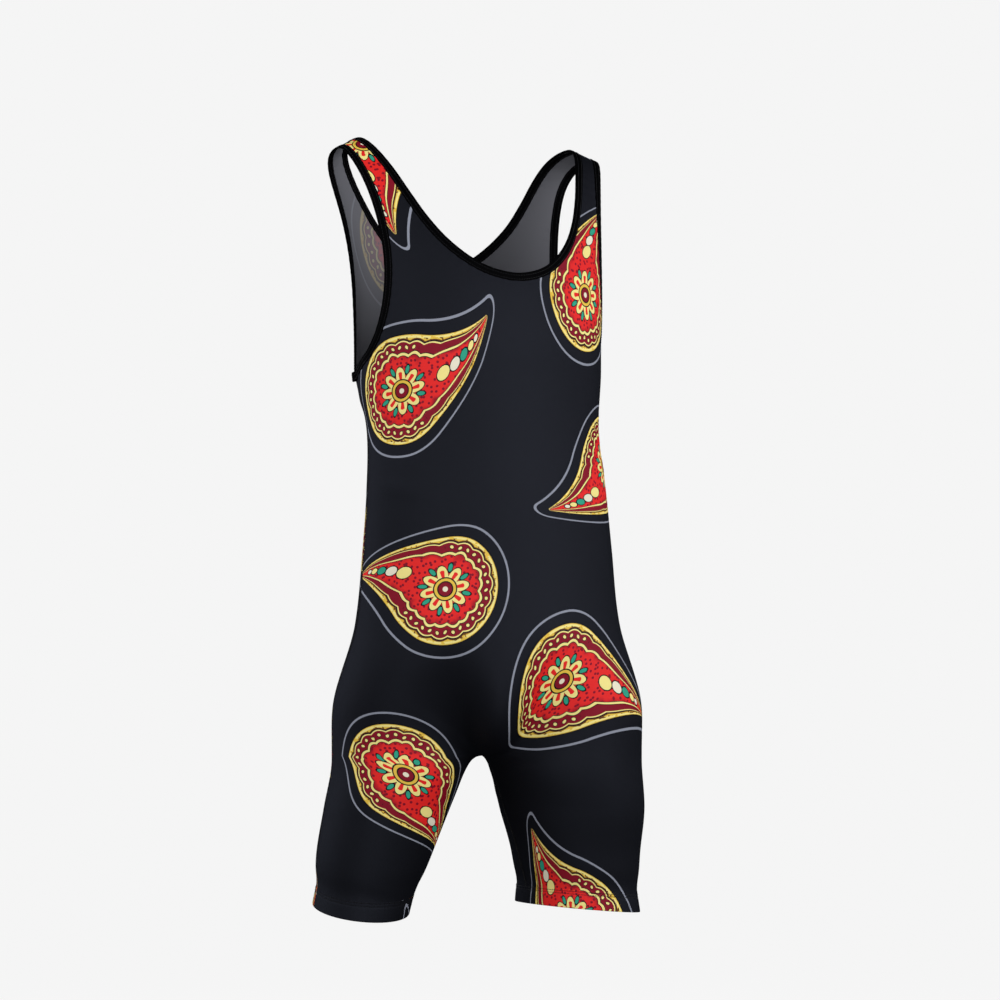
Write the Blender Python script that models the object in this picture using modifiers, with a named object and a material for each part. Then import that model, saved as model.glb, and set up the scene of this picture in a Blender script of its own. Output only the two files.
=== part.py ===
"""Wrestling singlet in its worn, hollow form: front and back panels that run from the shoulder
straps to the leg ends, a binding round the neck and round each armhole, and two turned-up hems.

Each piece is drawn flat, in millimetres, as it would be cut, and is then laid on the form of a
general figure. The figure faces -Y, its left side is at +X, and its right leg is a little back.
The origin lies midway between the two straps, at the top of the shoulders.
"""

from collections import namedtuple

import bmesh
import bpy
import numpy as np
from mathutils import Vector
from mathutils.geometry import delaunay_2d_cdt

METRE = 0.001  # one millimetre, in Blender's metres

# The cloth and its edges.
CLOTH_WALL = 1.2
SEAM_GAP = 0.3  # clear space between two pieces that are sewn together
SEAM_STRETCH = 1.15  # of that gap, from the form to the flat panel
BINDING_WIDTH = 10.0
BINDING_WALL = 2.6  # the folded tape, with the cloth's edge inside it
HEM_DEPTH = 21.0
HEM_WALL = 2.2  # the leg end turned up once

# Spacing of the points.
PANEL_STEP = 24.0
PANEL_CLEARANCE = 0.6 * PANEL_STEP  # from the outline to the nearest point inside it
EDGE_STEP = 11.5
FINE_POINTS = 400  # along a curve before it is shared out in steps
HEM_POINTS = 20  # on each half of a leg end
STRIP_LINES = 3  # across a binding or a hem

# Heights, from the top of the shoulders down.
UNDERARM = -262.0
CROTCH = -701.0
PANEL_END = -856.0  # where the hem band is sewn on
CROTCH_RISE = 150.0  # height over which the thighs run out into the belly and the seat
MIDDLE_SHARE = 0.22  # of the half width, over which the middle runs out sooner than the sides
MIDDLE_HASTE = {"front": 3.6, "back": 2.5}  # the higher, the sooner
BRIDGE = 60.0  # how widely the cloth bridges the furrow between the thighs, at the top of that
BRIDGE_FADE = 6  # how quickly that fades round the thigh

FACING = {"front": -1, "back": 1}
SIDES = {-1: "right", 1: "left"}

# The ridge of the shoulder, where the front and the back panel meet.
RIDGE_NECK = 127.0  # across, where the neck edge passes over the ridge
RIDGE_MIDDLE = 147.0  # across, at the middle of the strap
RIDGE_HALF_WIDTH = 190.0
RIDGE_FALL = 0.45  # at the middle of the strap, for each millimetre outwards
RIDGE_FORWARD = 0.42  # likewise
CHEST_LEAN = 0.2  # the higher, the flatter the slope from the chest to the shoulder
SHOULDER_BLADE = 105.0  # the higher, the fuller the back of the shoulder
STRAP_SHARE = 0.7  # of the half ring under the strap's middle

# The figure stands with its hips turned a little to its right. turn is in degrees, and so is
# seam_back, which is how far round the back from the widest point the side seams lie.
Ring = namedtuple("Ring", "height half_width front back axis_y turn seam_back")
TORSO = (
    Ring(-262, 146, 106, 108, -32, 0, 13),
    Ring(-331, 137, 99, 94, -42, 2, 9),
    Ring(-400, 140, 97, 92, -51, 5, 6),
    Ring(-470, 144, 98, 101, -54, 9, 3),
    Ring(-540, 149, 104, 116, -54, 13, 1),
    Ring(-610, 162, 112, 128, -55, 17, 0),
    Ring(-660, 177, 116, 130, -56, 19, 0),
    Ring(-706, 180, 114, 122, -55, 20, 0),
)
EVEN = 0.10  # shares the points out evenly round a ring that is wider than it is deep
SQUARENESS = 0.012  # swells the corners of the rings

# turn is how far the oval of a leg's ring faces outwards and seam is how far the inseam stands
# forward of the ring's inner side, in degrees. The lifts are how far the foremost and outermost
# points stand above the ring's middle.
Leg = namedtuple(
    "Leg", "height centre_x centre_y half_width half_depth turn seam front_lift outer_lift"
)
LEGS = {
    -1: (
        Leg(-706, 82, 4, 77, 92, 19, 20, 0, 0),
        Leg(-763, 96, 12, 70, 85, 20, 18, -2, 0),
        Leg(-814, 108, 20, 64, 79, 20, 15, -4, 1),
        Leg(-878, 120, 30, 52, 73, 20, 10, -8, 2),
    ),
    1: (
        Leg(-706, 87, -74, 82, 92, 20, -20, 0, 0),
        Leg(-763, 96, -76, 74, 87, 22, -15, 1, -2),
        Leg(-814, 101, -76, 65, 77, 23, -10, 2, -4),
        Leg(-878, 105, -74, 58, 74, 24, -5, 3, -7),
    ),
}
CROTCH_Y = -34.0
NOTCH = 6.0  # how far below the notch between the legs the inseams part to their own depths
ARCH = {-1: 3.6, 1: 2.75}  # the width of each half of the arch, with the root of the way down
ARCH_REACH = 60.0  # how far down the arch runs out into the thighs
NOTCH_FADE = 14  # how quickly both fade round the thigh

# Half width of the flat panel, at lengths measured up the cloth.
Flat = namedtuple("Flat", "height half_width")
FLAT = (
    Flat(-262, 212),
    Flat(-331, 193),
    Flat(-400, 192),
    Flat(-470, 200),
    Flat(-540, 210),
    Flat(-610, 226),
    Flat(-706, 248),
    Flat(-790, 238),
    Flat(-878, 208),
)
FLAT_SHOULDER = 190.0
INSEAM_ROUND = 2.6  # the flat inseam's distance from the middle, with the root of the way down
INSEAM_SLOPE = 0.16  # and with the way down

# Cut edges of the flat half panel. The neck runs out from the middle and the armhole in from
# the side seam, and both run up to the shoulder.
Cut = namedtuple("Cut", "across height")
NECK_LOW = {"front": -179.0, "back": -166.0}
NECK = {
    "front": (
        Cut(24, -176.5), Cut(46, -169.7), Cut(68.5, -155.5), Cut(87, -135), Cut(99, -111),
        Cut(106.5, -82), Cut(111, -45),
    ),
    "back": (
        Cut(26, -162), Cut(50, -151), Cut(72, -133), Cut(90, -109), Cut(102, -80), Cut(110, -45),
    ),
}
ARMHOLE_LOW = -278.5
ARMHOLE = {
    "front": (
        Cut(222, -271), Cut(208, -262), Cut(193, -252), Cut(177, -234), Cut(162, -207),
        Cut(151, -178), Cut(142.5, -146), Cut(136, -110), Cut(131, -72), Cut(128, -38),
    ),
    "back": (
        Cut(172, -274), Cut(163, -258), Cut(156.5, -236), Cut(150, -209), Cut(142.5, -179),
        Cut(136, -144), Cut(131, -105), Cut(128, -60),
    ),
}
STRAP_NECK = 114.0  # across, at the two sides of the strap on the shoulder
STRAP_ARM = 126.5

CLOTH_COLOUR = (0.012, 0.014, 0.018)
TAPE_COLOUR = (0.004, 0.004, 0.005)
CLOTH_ROUGHNESS = 0.55


def smooth_curve(places, values, at):
    """Reads a curve that passes smoothly through (places, values), with places ascending."""
    slopes = np.gradient(values, places)
    row = np.clip(np.searchsorted(places, at) - 1, 0, len(places) - 2)
    span = places[row + 1] - places[row]
    t = (at - places[row]) / span
    rise = values[row + 1] - values[row]
    ease = t * t * (3 - 2 * t)
    lead = t * (1 - t) * ((1 - t) * slopes[row] - t * slopes[row + 1])
    return values[row] + ease * rise + span * lead


def read_table(table, column, height):
    """Reads a table's column at any height. Past either end the end's value holds."""
    down = np.array([-row.height for row in table], dtype=float)
    values = np.array([getattr(row, column) for row in table], dtype=float)
    # A twin of the second row above the first one levels the curve there.
    down = np.insert(down, 0, 2 * down[0] - down[1])
    values = np.insert(values, 0, values[1])
    return smooth_curve(down, values, np.clip(-height, down[1], down[-1]))


def seam_shift(face, height):
    """How much wider the panel is for its side seam lying behind the widest point."""
    return -FACING[face] * read_table(TORSO, "seam_back", height) / 90


def torso_ring(side, face, share, height):
    """About a quarter of a ring, from the middle (share 0) to the side seam (share 1)."""
    quarter = share * (1 + seam_shift(face, height)) * np.pi / 2
    angle = quarter - EVEN * np.sin(2 * quarter)
    swell = 1 + SQUARENESS * np.sin(2 * angle) ** 2
    across = side * swell * read_table(TORSO, "half_width", height) * np.sin(angle)
    ahead = (np.cos(angle) > 0) == (face == "front")
    depth = np.where(ahead, read_table(TORSO, "front", height), read_table(TORSO, "back", height))
    along = FACING[face] * swell * depth * np.cos(angle)
    turn = np.radians(read_table(TORSO, "turn", height))
    x = across * np.cos(turn) + along * np.sin(turn)
    y = along * np.cos(turn) - across * np.sin(turn)
    return x, y + read_table(TORSO, "axis_y", height)


def leg_ring(side, face, share, height, bridge):
    """Half ring from the inseam (share 0) to the side seam (share 1), with the lift of its
    points. bridge rounds the furrow between the thighs."""
    row = {name: read_table(LEGS[side], name, height) for name in Leg._fields}
    half_width, half_depth = row["half_width"], row["half_depth"]
    turn, seam = np.radians(row["turn"]), np.radians(row["seam"])

    def radius(bearing):
        """Radius of the oval. Bearings run from straight inwards, by way of the front."""
        return half_width * half_depth / np.hypot(
            half_depth * np.cos(bearing - turn), half_width * np.sin(bearing - turn)
        )

    angle = share * np.pi
    reach = radius(seam - FACING[face] * angle)
    outwards = radius(seam) - reach * np.cos(angle)
    furrow = bridge * np.cos(angle / 2) ** BRIDGE_FADE
    around = -FACING[face] * (np.hypot(reach * np.sin(angle), furrow) - furrow)
    inner_x = row["centre_x"] - radius(seam) * np.cos(seam)
    inner_y = row["centre_y"] - radius(seam) * np.sin(seam)
    # The two inseams start together, at the top of a round arch.
    down = np.clip(CROTCH - height, 0, None)
    near = np.cos(angle / 2) ** NOTCH_FADE
    arch = near * np.exp(-((down / ARCH_REACH) ** 4)) * (ARCH[side] * np.sqrt(down) - inner_x)
    pull = near * np.exp(-down / NOTCH) * (CROTCH_Y - inner_y)
    x = inner_x + arch + outwards * np.cos(seam) + around * np.sin(seam)
    y = inner_y + pull + outwards * np.sin(seam) - around * np.cos(seam)
    lift = row["front_lift"] * (row["centre_y"] - y) / half_depth
    lift = lift + row["outer_lift"] * (x - row["centre_x"]) / half_width
    return side * x, y, lift


def ridge(x):
    """The shoulder's ridge: y and z at a distance x from the middle."""
    outwards = x**2 / (2 * RIDGE_MIDDLE)
    y = RIDGE_FORWARD * (RIDGE_MIDDLE / 2 - outwards)
    z = RIDGE_FALL * (RIDGE_NECK**2 / (2 * RIDGE_MIDDLE) - outwards)
    return y, z


def close_over(face, x, ring_y, angle):
    """Carries the ring at the underarm's height up to the ridge, as angle goes to 90 degrees."""
    ridge_y, ridge_z = ridge(x)
    fullness = SHOULDER_BLADE * np.sin(angle) ** 4 if face == "back" else 0.0
    reach = (ring_y - ridge_y) * (1 - CHEST_LEAN * np.sin(angle) ** 2) + fullness
    return ridge_y + reach * np.cos(angle), UNDERARM + (ridge_z - UNDERARM) * np.sin(angle)


def climb(face):
    """Lengths up the cloth from the underarm's height to the ridge, with the angles there."""
    angles = np.linspace(0, np.pi / 2, 91)
    share = STRAP_SHARE / (1 + seam_shift(face, np.array([UNDERARM])))
    ring_y = torso_ring(1, face, share, np.array([UNDERARM]))[1]
    y, z = close_over(face, RIDGE_MIDDLE, ring_y, angles)
    lengths = np.insert(np.cumsum(np.hypot(np.diff(y), np.diff(z))), 0, 0)
    return lengths, angles


CLIMB = {face: climb(face) for face in FACING}
SHOULDER = {face: UNDERARM + CLIMB[face][0][-1] for face in FACING}


def form(side, face, share, height):
    """Points of the figure's form. height is the length up the cloth."""
    # Below the underarm the torso runs out into the thighs.
    low = np.minimum(height, UNDERARM)
    rise = np.clip((low - CROTCH) / CROTCH_RISE, 0, 1)
    middle = np.exp(-((share / MIDDLE_SHARE) ** 2))
    curved = CROTCH + CROTCH_RISE * (middle * rise**2 * (2 - rise) + (1 - middle) * rise)
    level = np.where((low > CROTCH) & (rise < 1), curved, low)
    torso = middle * (1 - (1 - rise) ** MIDDLE_HASTE[face]) + (1 - middle) * rise**2 * (3 - 2 * rise)
    leg_x, leg_y, lift = leg_ring(side, face, share, low, BRIDGE * rise)
    torso_x, torso_y = torso_ring(side, face, share, low)
    x = leg_x + (torso_x - leg_x) * torso
    y = leg_y + (torso_y - leg_y) * torso
    z = level + lift * (1 - torso)
    # Above it the form closes over the shoulder.
    angle = np.interp(height - UNDERARM, *CLIMB[face])
    half_width = read_table(TORSO, "half_width", low)
    x = x * (1 + (RIDGE_HALF_WIDTH / half_width - 1) * np.sin(angle) ** 2)
    over_y, over_z = close_over(face, x, y, angle)
    above = height > UNDERARM
    return np.stack([x, np.where(above, over_y, y), np.where(above, over_z, z)], axis=-1)


def inseam_distance(height):
    """Distance of the flat panel's inseam from the middle."""
    down = np.clip(CROTCH - height, 0, None)
    return INSEAM_ROUND * np.sqrt(down) + INSEAM_SLOPE * down


def flat_half_width(face, height):
    """Width of the flat panel, from the middle or the inseam to the side seam."""
    low = np.minimum(height, UNDERARM)
    width = read_table(FLAT, "half_width", low)
    angle = np.interp(height - UNDERARM, *CLIMB[face])
    width = width + (FLAT_SHOULDER - width) * np.sin(angle) ** 2
    return width * (1 + seam_shift(face, low))


def lay(face, flat):
    """Lays points of the flat panel on the form."""
    across, height = flat[:, 0], flat[:, 1]
    share = (np.abs(across) - inseam_distance(height)) / flat_half_width(face, height)
    right, left = (form(side, face, np.clip(share, 0, None), height) for side in (-1, 1))
    return np.where(across[:, None] < 0, right, left)


def straight_out(face, flat):
    """Directions straight out of the form at points of the flat panel."""
    step = 0.5
    right = lay(face, flat + (step, 0)) - lay(face, flat - (step, 0))
    up = lay(face, flat + (0, step)) - lay(face, flat - (0, step))
    out = -FACING[face] * np.cross(right, up)
    return out / np.linalg.norm(out, axis=1, keepdims=True)


def even_steps(points, step):
    """Points a step apart, or a little less, along a line through many points."""
    lengths = np.insert(np.cumsum(np.hypot(*np.diff(points, axis=0).T)), 0, 0)
    places = np.linspace(0, lengths[-1], int(np.ceil(lengths[-1] / step)) + 1)
    return np.stack([np.interp(places, lengths, column) for column in points.T], axis=-1)


def cut_edge(start, cuts, end):
    """Smooth cut edge from the start, which it leaves level, to the shoulder, which it meets
    squarely."""
    rows = np.array([start, *cuts, end], dtype=float)
    before = (2 * rows[0, 0] - rows[1, 0], rows[1, 1])
    after = (rows[-2, 0], 2 * rows[-1, 1] - rows[-2, 1])
    rows = np.vstack([before, rows, after])
    lengths = np.insert(np.cumsum(np.hypot(*np.diff(rows, axis=0).T)), 0, 0)
    places = np.linspace(lengths[1], lengths[-2], FINE_POINTS)
    line = [smooth_curve(lengths, column, places) for column in rows.T]
    return even_steps(np.stack(line, axis=-1), EDGE_STEP)


def neck_edge(face):
    """The left half of the neck's cut edge, from the middle to the shoulder."""
    return cut_edge((0, NECK_LOW[face]), NECK[face], (STRAP_NECK, SHOULDER[face]))


def armhole_edge(face):
    """The left armhole's cut edge, from the side seam to the shoulder."""
    side = float(flat_half_width(face, np.array([ARMHOLE_LOW]))[0])
    return cut_edge((side, ARMHOLE_LOW), ARMHOLE[face], (STRAP_ARM, SHOULDER[face]))


def side_seam(face):
    """The left side seam of the flat panel, from top to bottom."""
    height = np.linspace(ARMHOLE_LOW, PANEL_END, FINE_POINTS)
    across = inseam_distance(height) + flat_half_width(face, height)
    return even_steps(np.stack([across, height], axis=-1), PANEL_STEP)


def leg_line(face, level):
    """A line across the left leg of the flat panel, from the side seam to the inseam."""
    height = np.full(HEM_POINTS, level)
    across = inseam_distance(height) + np.linspace(1, 0, HEM_POINTS) * flat_half_width(face, height)
    return np.stack([across, height], axis=-1)


def inseam():
    """The left inseam of the flat panel, from the bottom up to the middle of the crotch."""
    height = CROTCH - np.linspace(np.sqrt(CROTCH - PANEL_END), 0, FINE_POINTS) ** 2
    return even_steps(np.stack([inseam_distance(height), height], axis=-1), EDGE_STEP)


def panel_outline(face):
    """The flat panel's outline, counter-clockwise. Each seam keeps half of the gap that it
    shares with the other panel."""
    half_gap = SEAM_GAP * SEAM_STRETCH / 2
    neck = neck_edge(face)
    armhole = armhole_edge(face)[::-1]
    side = side_seam(face)
    leg_end = leg_line(face, PANEL_END)
    inner = inseam()
    neck[-1] -= (0, half_gap)
    armhole[0] -= (0, half_gap)
    armhole[-1] -= (half_gap, 0)
    side -= (half_gap, 0)
    leg_end[0] -= (half_gap, 0)
    leg_end[-1] += (half_gap, 0)
    inner += (half_gap, 0)
    inner[-1] = (0, CROTCH + half_gap)
    left = np.vstack([neck, armhole, side[1:-1], leg_end, inner[1:]])
    right = left[1:-1] * (-1, 1)
    return np.vstack([left, right[::-1]])[::-1]


def fill_outline(outline):
    """Points and triangles over a flat outline, with an even lattice of points inside it."""
    low, high = outline.min(axis=0), outline.max(axis=0)
    levels = np.arange(low[1], high[1], PANEL_STEP * np.sqrt(3) / 2)
    places = np.arange(low[0], high[0], PANEL_STEP)
    across = places[None, :] + PANEL_STEP / 2 * (np.arange(len(levels)) % 2)[:, None]
    lattice = np.stack([across, np.broadcast_to(levels[:, None], across.shape)], axis=-1)
    lattice = lattice.reshape(-1, 2)
    nearest = np.min(np.linalg.norm(lattice[:, None] - outline[None], axis=-1), axis=1)
    points = np.vstack([outline, lattice[nearest > PANEL_CLEARANCE]])
    edges = [(number, (number + 1) % len(outline)) for number in range(len(outline))]
    filled = delaunay_2d_cdt([Vector(point) for point in points], edges, [], 1, 1e-6)
    return np.array([tuple(point) for point in filled[0]]), filled[2]


def make_piece(name, points, faces, wall, colour):
    """A piece of cloth: a sheet of points in millimetres, thickened outwards by its wall."""
    build = bmesh.new()
    corners = [build.verts.new(point * METRE) for point in points]
    for face in faces:
        build.faces.new([corners[number] for number in face])
    for corner in corners:
        if not corner.link_faces:
            build.verts.remove(corner)
    mesh = bpy.data.meshes.new(name)
    build.to_mesh(mesh)
    build.free()
    mesh.shade_smooth()
    material = bpy.data.materials.new(name)
    material.use_nodes = True
    shader = material.node_tree.nodes["Principled BSDF"]
    shader.inputs["Base Color"].default_value = (*colour, 1)
    shader.inputs["Roughness"].default_value = CLOTH_ROUGHNESS
    mesh.materials.append(material)
    piece = bpy.data.objects.new(name, mesh)
    GARMENT.objects.link(piece)
    thicken = piece.modifiers.new("Wall", "SOLIDIFY")
    thicken.thickness = wall * METRE
    thicken.offset = 1
    thicken.use_even_offset = True
    thicken.use_quality_normals = True


def make_panel(face):
    """The front or the back panel."""
    flat, faces = fill_outline(panel_outline(face))
    if face == "back":
        faces = [face_corners[::-1] for face_corners in faces]
    make_piece(face + "_panel", lay(face, flat), faces, CLOTH_WALL, CLOTH_COLOUR)


def make_strip(name, loop, wall):
    """A closed strip from a loop of stations, each a few points across the strip."""
    count, lines = loop.shape[:2]
    corner = np.arange(count * lines).reshape(count, lines)
    following = np.roll(corner, -1, axis=0)
    faces = [
        (corner[i, j], following[i, j], following[i, j + 1], corner[i, j + 1])
        for i in range(count)
        for j in range(lines - 1)
    ]
    make_piece(name, loop.reshape(-1, 3), faces, wall, TAPE_COLOUR)


def under_form(face, flat, wall):
    """Inner side of a thick edge that is centred on the cloth."""
    return lay(face, flat) - straight_out(face, flat) * (wall - CLOTH_WALL) / 2


def binding_stations(face, edge, opening):
    """Points across the binding at each point of a cut edge. opening is 1 where the opening
    lies on the left of the edge's way, and -1 where it lies on the right."""
    along = np.gradient(edge, axis=0)
    along[0, 1] = 0
    along[-1, 0] = 0
    across = np.stack([-along[:, 1], along[:, 0]], axis=-1) * opening
    across /= np.linalg.norm(across, axis=1, keepdims=True)
    # The flat panel is stretched over the form, so a step across it is measured there.
    step = np.linalg.norm(lay(face, edge + across) - lay(face, edge), axis=1)[:, None]
    distances = SEAM_GAP + BINDING_WIDTH * np.linspace(0, 1, STRIP_LINES)
    lines = [under_form(face, edge + across * d / step, BINDING_WALL) for d in distances]
    return np.stack(lines, axis=1)


def make_neck_binding():
    """The tape round the neck opening."""
    half = {
        (side, face): binding_stations(face, neck_edge(face) * (side, 1), side)
        for side in SIDES
        for face in FACING
    }
    loop = [
        half[1, "front"],
        half[1, "back"][-2::-1],
        half[-1, "back"][1:],
        half[-1, "front"][-2:0:-1],
    ]
    make_strip("neck_binding", np.concatenate(loop), BINDING_WALL)


def make_armhole_binding(side):
    """The tape round an armhole."""
    front, back = (
        binding_stations(face, armhole_edge(face) * (side, 1), -side) for face in FACING
    )
    loop = np.concatenate([front[::-1], back[1:-1]])
    make_strip("armhole_binding_" + SIDES[side], loop[::side], BINDING_WALL)


def make_hem(side):
    """The turned-up end of a leg."""
    levels = PANEL_END - SEAM_GAP - HEM_DEPTH * np.linspace(0, 1, STRIP_LINES)
    front, back = (
        np.stack([under_form(face, leg_line(face, z) * (side, 1), HEM_WALL) for z in levels], axis=1)
        for face in FACING
    )
    loop = np.concatenate([front, back[-2:0:-1]])
    make_strip("leg_hem_" + SIDES[side], loop[::side], HEM_WALL)


for old in list(bpy.data.objects):
    bpy.data.objects.remove(old)
GARMENT = bpy.data.collections.new("wrestling_singlet")
bpy.context.scene.collection.children.link(GARMENT)
make_panel("front")
make_panel("back")
make_neck_binding()
for wearer_side in SIDES:
    make_armhole_binding(wearer_side)
    make_hem(wearer_side)
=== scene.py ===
"""The looks of a worn, hollow wrestling singlet: its fine cloth, tape, stitching and studio.

Lengths are in millimetres until a mesh is made of them. The figure faces -Y, its left side is at
+X, and the origin lies midway between the shoulder straps, at the top of the shoulders.
"""
from collections import namedtuple

import bpy
import numpy as np
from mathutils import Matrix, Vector
from mathutils.geometry import delaunay_2d_cdt
from mathutils.kdtree import KDTree


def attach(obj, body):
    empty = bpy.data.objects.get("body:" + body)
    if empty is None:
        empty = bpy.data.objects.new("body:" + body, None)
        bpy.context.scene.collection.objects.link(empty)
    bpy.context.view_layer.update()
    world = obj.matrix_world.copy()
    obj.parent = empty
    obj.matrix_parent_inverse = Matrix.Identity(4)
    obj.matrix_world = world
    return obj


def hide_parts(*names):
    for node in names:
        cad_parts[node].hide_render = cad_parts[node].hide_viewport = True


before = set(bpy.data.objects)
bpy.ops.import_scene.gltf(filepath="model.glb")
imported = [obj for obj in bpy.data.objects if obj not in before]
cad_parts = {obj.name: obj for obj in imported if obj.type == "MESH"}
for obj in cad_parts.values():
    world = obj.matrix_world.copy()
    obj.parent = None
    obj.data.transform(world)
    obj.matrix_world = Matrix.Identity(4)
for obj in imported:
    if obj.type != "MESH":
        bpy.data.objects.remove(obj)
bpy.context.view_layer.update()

# --------------------------------------
# Front and back panels. Each is cut in one from a smooth, printed stretch knit, from the shoulder
# straps to the leg ends. Worn, the cloth is stretched over a general figure and hardly creases.

METRE = 0.001
CLOTH_OUTSIDE = 1.2  # how far the cloth's printed side stands out from the figure's form
CLOTH_THICKNESS = 0.7
CLOTH_MIDDLE = CLOTH_OUTSIDE - CLOTH_THICKNESS / 2
CLOTH_STEP = 3.6  # between the points that fill a panel
RIM_CLEARANCE = 0.6 * CLOTH_STEP  # from those points to the panel's outline
CUT_STEP = 3.0  # between the points of an outline
FINE_POINTS = 1200  # of a curve, before it is cut into even steps
LEG_POINTS = 80  # across the end of a leg
SHARP_ANGLE = np.radians(55)
TUCK = 2.2  # how far a panel's edge goes into the tape or the hem
SEAM_DIP = 0.55  # how far a seam pulls the cloth in
SEAM_WIDTH = 1.5
SEAM_REACH = 4.0

UNDERARM = -262.0
CROTCH = -701.0
PANEL_END = -856.0
CROTCH_RISE = 150.0  # over this height the torso runs out into the thighs
MIDDLE_SHARE = 0.22
MIDDLE_HASTE = {"front": 3.6, "back": 2.5}  # the higher, the sooner the middle is the torso's
BRIDGE = 60.0  # how round the furrow between the thighs is
BRIDGE_FADE = 6
FACING = {"front": -1, "back": 1}
SIDES = {-1: "right", 1: "left"}

RIDGE_NECK = 127.0
RIDGE_MIDDLE = 147.0
RIDGE_HALF_WIDTH = 190.0
RIDGE_FALL = 0.45
RIDGE_FORWARD = 0.42
CHEST_LEAN = 0.2
SHOULDER_BLADE = 105.0
STRAP_SHARE = 0.7
CLIMB_POINTS = 91

Ring = namedtuple("Ring", "height half_width front back axis_y turn seam_back")
TORSO = (
    Ring(-262, 146, 106, 108, -32, 0, 13),
    Ring(-331, 137, 99, 94, -42, 2, 9),
    Ring(-400, 140, 97, 92, -51, 5, 6),
    Ring(-470, 144, 98, 101, -54, 9, 3),
    Ring(-540, 149, 104, 116, -54, 13, 1),
    Ring(-610, 162, 112, 128, -55, 17, 0),
    Ring(-660, 177, 116, 130, -56, 19, 0),
    Ring(-706, 180, 114, 122, -55, 20, 0),
)
EVEN = 0.10
SQUARENESS = 0.012

Leg = namedtuple(
    "Leg", "height centre_x centre_y half_width half_depth turn seam front_lift outer_lift"
)
LEGS = {
    -1: (
        Leg(-706, 82, 4, 77, 92, 19, 20, 0, 0),
        Leg(-763, 96, 12, 70, 85, 20, 18, -2, 0),
        Leg(-814, 108, 20, 64, 79, 20, 15, -4, 1),
        Leg(-878, 120, 30, 52, 73, 20, 10, -8, 2),
    ),
    1: (
        Leg(-706, 87, -74, 82, 92, 20, -20, 0, 0),
        Leg(-763, 96, -76, 74, 87, 22, -15, 1, -2),
        Leg(-814, 101, -76, 65, 77, 23, -10, 2, -4),
        Leg(-878, 105, -74, 58, 74, 24, -5, 3, -7),
    ),
}
CROTCH_Y = -34.0
NOTCH = 6.0  # how far below the crotch the inseams part to their own depths
ARCH = {-1: 3.6, 1: 2.75}  # each half's width, with the root of the way down
ARCH_REACH = 60.0  # how far down the arch runs out into the thighs
NOTCH_FADE = 14  # how quickly both fade round the thigh

Flat = namedtuple("Flat", "height half_width")
FLAT = (
    Flat(-262, 212), Flat(-331, 193), Flat(-400, 192), Flat(-470, 200), Flat(-540, 210),
    Flat(-610, 226), Flat(-706, 248), Flat(-790, 238), Flat(-878, 208),
)
FLAT_SHOULDER = 190.0
INSEAM_ROUND = 2.6
INSEAM_SLOPE = 0.16

# The left half of each cut edge: places across and up the flat panel.
NECK_LOW = {"front": -179.0, "back": -166.0}
NECK = {
    "front": (
        (24, -176.5), (46, -169.7), (68.5, -155.5), (87, -135), (99, -111),
        (106.5, -82), (111, -45),
    ),
    "back": (
        (26, -162), (50, -151), (72, -133), (90, -109), (102, -80), (110, -45),
    ),
}
ARMHOLE_LOW = -278.5
ARMHOLE = {
    "front": (
        (222, -271), (208, -262), (193, -252), (177, -234), (162, -207),
        (151, -178), (142.5, -146), (136, -110), (131, -72), (128, -38),
    ),
    "back": (
        (172, -274), (163, -258), (156.5, -236), (150, -209), (142.5, -179),
        (136, -144), (131, -105), (128, -60),
    ),
}
STRAP_NECK = 114.0
STRAP_ARM = 126.5

# Soft creases in the stretched cloth, each along a bowed line of the flat panel.
Crease = namedtuple("Crease", "start_x start_y end_x end_y bow width depth")
CREASES = {
    "front": (
        Crease(-12, -692, -118, -640, 9, 10, 0.7), Crease(14, -690, 128, -628, -10, 11, 0.8),
        Crease(-30, -712, -112, -700, 5, 8, 0.6), Crease(26, -716, 96, -706, -4, 8, 0.5),
        Crease(-196, -290, -128, -318, -6, 9, 0.6), Crease(200, -286, 150, -322, 8, 8, 0.5),
        Crease(-176, -398, -96, -412, 4, 12, 0.5), Crease(182, -372, 112, -392, -5, 13, 0.6),
        Crease(-70, -850, -190, -838, 5, 9, 0.5), Crease(60, -846, 170, -842, -4, 9, 0.5),
    ),
    "back": (
        Crease(-196, -292, -120, -330, 7, 10, 0.8), Crease(198, -288, 116, -322, -8, 10, 0.8),
        Crease(-120, -398, 96, -406, 7, 11, 1.1), Crease(-64, -430, 128, -424, -6, 12, 0.9),
        Crease(-150, -452, 20, -460, 5, 13, 0.7), Crease(-34, -716, -176, -704, -9, 10, 1.3),
        Crease(30, -722, 168, -706, 9, 10, 1.2), Crease(-46, -744, -132, -738, -5, 8, 0.7),
        Crease(44, -748, 124, -740, 5, 8, 0.6),
    ),
}
CREASE_FADE = 0.42  # share of its length from its middle at which a crease fades
PINCH = 2.2  # how far the hem's stitching draws a leg in
PINCH_ABOVE = 5.0  # the pinch's middle, above the stitching
PINCH_REACH = 15.0
PUCKER = 0.3
PUCKER_REACH = 7.0
PUCKER_LENGTH = 9.5
PUCKER_DRIFT = 67.0
PUCKER_UNEVEN = 2.2
PUCKER_OFFSET = 40.0  # keeps the two sides' waves apart


def smooth_curve(places, values, at):
    """Reads a curve that passes smoothly through (places, values), with places ascending."""
    slopes = np.gradient(values, places)
    row = np.clip(np.searchsorted(places, at) - 1, 0, len(places) - 2)
    span = places[row + 1] - places[row]
    t = (at - places[row]) / span
    rise = values[row + 1] - values[row]
    ease = t * t * (3 - 2 * t)
    lead = t * (1 - t) * ((1 - t) * slopes[row] - t * slopes[row + 1])
    return values[row] + ease * rise + span * lead


def along_line(line):
    """Lengths along a line of points, from its start."""
    return np.insert(np.cumsum(np.linalg.norm(np.diff(line, axis=0), axis=1)), 0, 0)


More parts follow.
